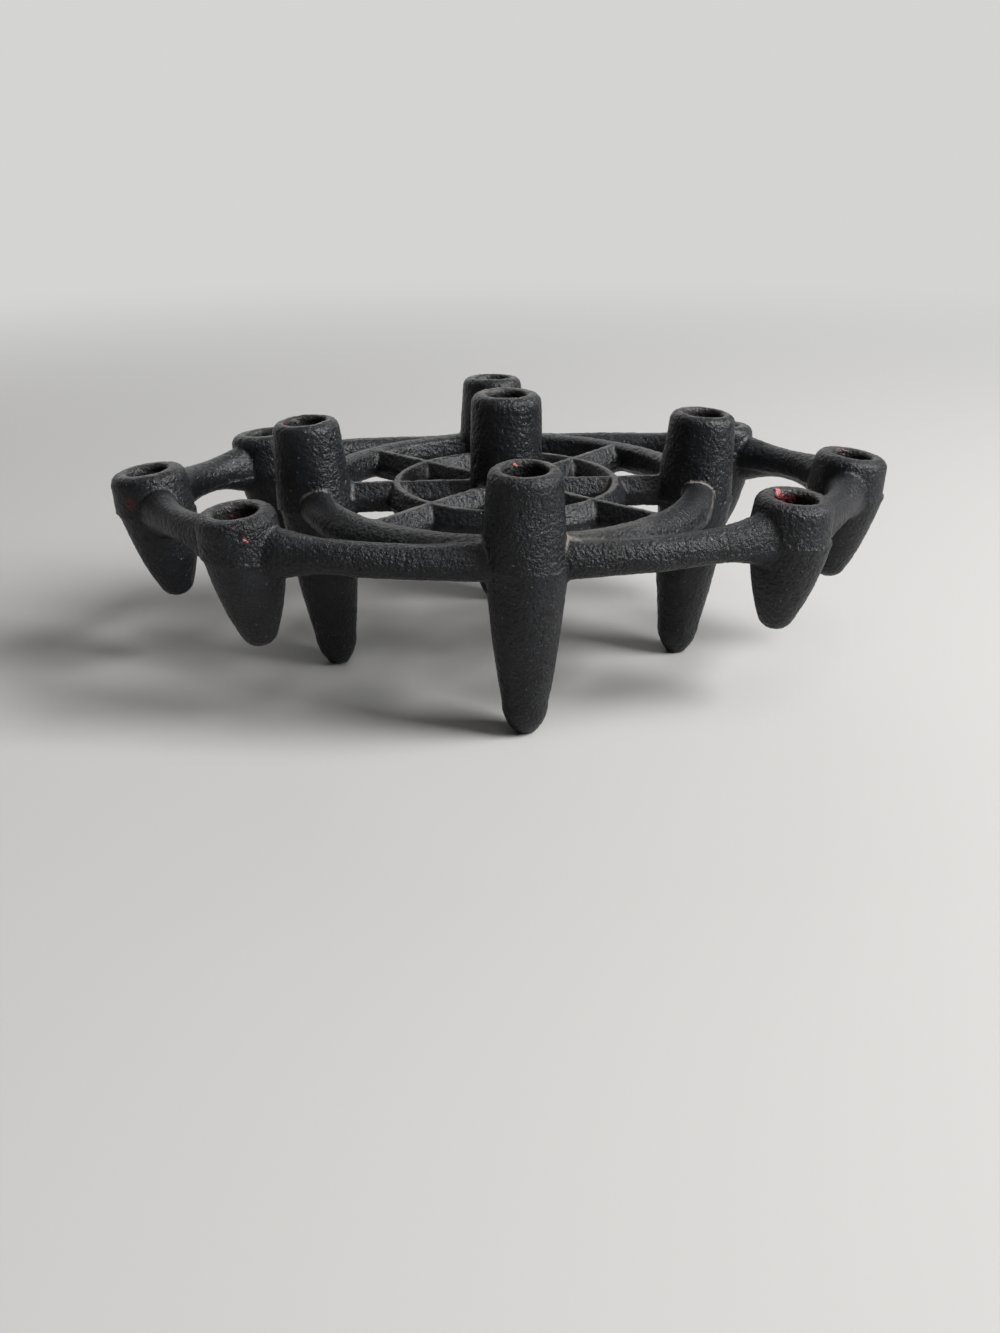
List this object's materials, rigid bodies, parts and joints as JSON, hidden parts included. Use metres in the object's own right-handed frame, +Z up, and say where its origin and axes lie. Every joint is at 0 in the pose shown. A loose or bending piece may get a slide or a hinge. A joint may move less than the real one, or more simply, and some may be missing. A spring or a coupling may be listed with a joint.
{
  "type": "candle stand",
  "caption": "Low cast-iron candle stand: splayed sockets for thin tapers on four tapering legs, joined by a round rim, a spoked star and two side loops.",
  "frame": {"origin": "on the table, under the centre socket", "axes": "+Z up, +X along the long way of the stand to its right, front leg at -Y"},
  "size_m": [0.141, 0.0832, 0.0506],
  "materials": {
    "iron": "satin black sand-cast skin, finely pitted, dusty at the crests"
  },
  "bodies": {
    "root": {"back_left_cup": "iron", "back_leg_socket": "iron", "back_right_cup": "iron", "centre_socket": "iron", "front_left_cup": "iron", "front_leg_socket": "iron", "front_right_cup": "iron", "inner_arm_back_left": "iron", "inner_arm_back_right": "iron", "inner_arm_front_left": "iron", "inner_arm_front_right": "iron", "left_cup": "iron", "left_leg_socket": "iron", "outer_arm_back_left": "iron", "outer_arm_back_right": "iron", "outer_arm_front_left": "iron", "outer_arm_front_right": "iron", "right_cup": "iron", "right_leg_socket": "iron", "rim_arc_back_left": "iron", "rim_arc_back_right": "iron", "rim_arc_front_left": "iron", "rim_arc_front_right": "iron", "ring_arc_1": "iron", "ring_arc_2": "iron", "ring_arc_3": "iron", "ring_arc_4": "iron", "ring_arc_5": "iron", "ring_arc_6": "iron", "ring_arc_7": "iron", "ring_arc_8": "iron", "spoke_back": "iron", "spoke_back_left": "iron", "spoke_back_right": "iron", "spoke_front": "iron", "spoke_front_left": "iron", "spoke_front_right": "iron", "spoke_left": "iron", "spoke_right": "iron"}
  },
  "joints": []
}
